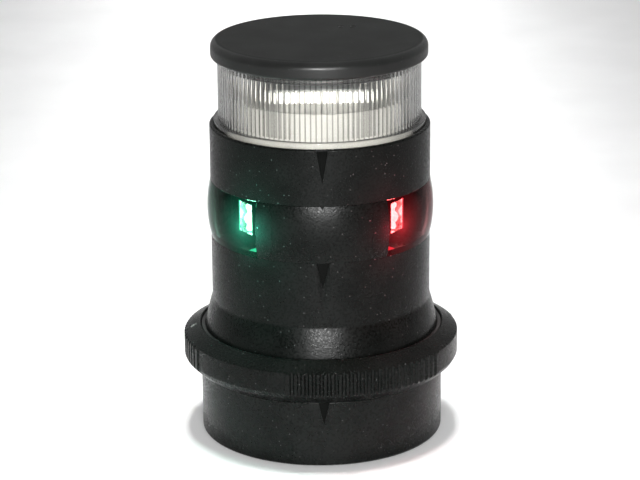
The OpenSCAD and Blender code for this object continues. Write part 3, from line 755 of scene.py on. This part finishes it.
def make_side_shade_skin(side, name):
    """Black skin close behind the dark end of a side lens, curved like the lens: painted shade that keeps
    that end dark.
    """
    half = BAND_MID - BAND_LOW
    lens_r = math.hypot(HEAD_R, half)
    skin_out, skin_in, reach, steps = lens_r - 2.15, lens_r - 2.45, half - 1.4, 12
    rise = [reach * step / steps for step in range(-steps, steps + 1)]
    profile = [(math.sqrt(skin_out ** 2 - z ** 2), BAND_MID + z) for z in rise]
    profile += [(math.sqrt(skin_in ** 2 - z ** 2), BAND_MID + z) for z in reversed(rise)]
    skin = segment(name + "_shade_skin", side * SHADE_SKIN_FROM, side * SHADE_SKIN_TO, profile)
    dress(skin, FINISHES["black_plastic"], "head")


def make_side_lamp(side, name, slot):
    """A lit LED together with its painted reflections in the reflector, all one glowing piece."""
    lamp = lathe(name + "_led_with_painted_reflections", [Vector(point) for point in LAMP_WITH_REFLECTIONS_OUTLINE], 32)
    place = on_bearing(side * LAMP_BEARING, LAMP_REACH, BAND_MID) * MM
    lamp.data.transform(Matrix.Translation(place))
    dress(lamp, FINISHES[slot], "head")
    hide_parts(name + "_led")


def make_painted_light_edges(side, name, slot):
    """Painted light: a glowing lip of a side lamp's pocket and a glowing ledge below the window, where the
    lamp's light falls.
    """
    lip_half, lip_reach, lip_thick, lip_along, lip_out = 0.11, 4.7, 0.15, 3.35, -26.9
    corners = [(-lip_half, -lip_reach), (lip_half, -lip_reach), (lip_half, lip_reach), (-lip_half, lip_reach)]
    lip = prism(name + "_lit_lip", corners, 0, lip_thick)
    around = Matrix.Rotation(math.radians(side * LAMP_BEARING), 4, "Z")
    lip.data.transform(around @ Matrix.Translation(Vector((side * lip_along, lip_out, BAND_MID)) * MM))
    ledge_in, ledge_out, ledge_low, ledge_thick = 27.3, 31.0, BAND_LOW + 1.2, 0.08
    ledge_top = ledge_low + ledge_thick
    section = [(ledge_in, ledge_low), (ledge_out, ledge_low), (ledge_out, ledge_top), (ledge_in, ledge_top)]
    first, last = side * (WINDOW_EDGE + 0.6), side * (WINDOW_EDGE + 8)
    ledge = segment(name + "_lit_ledge", first, last, section)
    for piece in (lip, ledge):
        dress(piece, PAINTED_LIGHT_EDGES[slot], "head")


# ---------------------------------------------------------------- camera and studio

def make_camera():
    """A long lens a little above the object and almost dead ahead of it."""
    data = bpy.data.cameras.new("camera")
    data.lens, data.sensor_width = 145.0, 36.0
    data.clip_end = 20.0
    camera = bpy.data.objects.new("camera", data)
    scene.collection.objects.link(camera)
    camera.location = (-0.013, -0.7458, 0.297)
    aim = Vector((-0.0002, 0.0, 0.0588))
    tilt = Matrix.Rotation(math.radians(-0.44), 4, "Z")
    facing = (aim - camera.location).to_track_quat("-Z", "Y").to_matrix().to_4x4()
    camera.matrix_world = Matrix.Translation(camera.location) @ facing @ tilt
    scene.camera = camera


def area_light(name, place, aim, size, power, colour=(1, 1, 1), mirrored=True):
    """A soft rectangular lamp that points at aim; mirrored says whether gloss shows it."""
    data = bpy.data.lights.new(name, "AREA")
    data.shape = "RECTANGLE"
    data.size, data.size_y = size
    data.energy, data.color = power, colour
    lamp = bpy.data.objects.new(name, data)
    scene.collection.objects.link(lamp)
    lamp.location = place
    lamp.rotation_euler = (Vector(aim) - Vector(place)).to_track_quat("-Z", "Y").to_euler()
    lamp.visible_camera = False
    lamp.visible_glossy = mirrored
    return lamp


def spill_light(name, place, power, colour):
    """A small coloured lamp that carries a lit window's glow onto the shell beside it."""
    data = bpy.data.lights.new(name, "POINT")
    data.energy, data.color, data.shadow_soft_size = power, colour, 0.4 * MM
    lamp = bpy.data.objects.new(name, data)
    scene.collection.objects.link(lamp)
    lamp.location = place * MM
    lamp.visible_camera = False
    lamp.visible_glossy = False
    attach(lamp, "head")


def make_window_glow():
    """The glow that each lit window throws on the shield in front of it."""
    bearing = 37
    for reach, share in ((38, 1.0), (46, 0.35)):
        green_place = on_bearing(-bearing, reach, BAND_MID)
        spill_light(f"green_spill_{reach}", green_place, 0.045 * share, (0.12, 1.0, 0.72))
        red_place = on_bearing(bearing, reach, BAND_MID)
        spill_light(f"red_spill_{reach}", red_place, 0.035 * share, (1.0, 0.05, 0.1))


def make_world():
    """White light that is stronger from behind the object than from in front."""
    world = bpy.data.worlds.new("studio")
    scene.world = world
    world.use_nodes = True
    tree = world.node_tree
    backdrop = tree.nodes["Background"]
    shade_of = tree.nodes.new("ShaderNodeMapRange")
    shade_of.inputs["From Min"].default_value = -0.25
    shade_of.inputs["From Max"].default_value = 0.35
    shade_of.inputs["To Min"].default_value = 0.05
    shade_of.inputs["To Max"].default_value = 0.4
    tree.links.new(axes(tree, coordinates(tree, "Generated"))["Y"], shade_of.inputs["Value"])
    tree.links.new(shade_of.outputs["Result"], backdrop.inputs["Strength"])
    backdrop.inputs["Color"].default_value = (1, 1, 1, 1)


def make_studio():
    """Pale floor, light from the world and three soft lamps."""
    make_world()
    material, tree, shader = new_material("pale_floor", (0.9, 0.9, 0.9), 0.7)
    uneven = ramp(tree, noise(tree, 40), [(0.3, 0.88), (0.7, 0.92)])
    tree.links.new(uneven, shader.inputs["Base Color"])
    bpy.ops.mesh.primitive_plane_add(size=12, location=(0, 0, -0.0002))
    floor = bpy.context.object
    floor.name = "floor"
    floor.data.materials.append(material)
    area_light("front_lamp", (0.02, -1.5, 0.42), (0, 0, 0.07), (0.6, 0.2), 30)
    area_light("top_lamp", (0, -0.2, 1.5), (0, 0, 0), (1.8, 1.8), 10, mirrored=False)
    pool = area_light("floor_lamp", (0, 0.36, 1.0), (0, 0.36, 0), (0.16, 0.9), 0.7, mirrored=False)
    pool.data.spread = math.radians(21)
    scene.view_settings.view_transform = "Standard"


# ---------------------------------------------------------------- put it together

for name, obj in nodes.items():
    obj.data.materials.clear()
    obj.data.materials.append(FINISHES[slot_of[name]])

make_top_cap()
make_anchor_lens()
make_upper_housing()
make_lower_housing()
make_locking_ring()
make_lock_marks()
make_arrow_shade_sheets()
for side, name, slot in ((-1, "starboard", "green_led"), (1, "port", "red_led")):
    make_side_lamp(side, name, slot)
    make_painted_light_edges(side, name, slot)
for side, name in ((-1, "starboard"), (1, "port")):
    make_side_shade_skin(side, name)
make_window_glow()
make_camera()
make_studio()
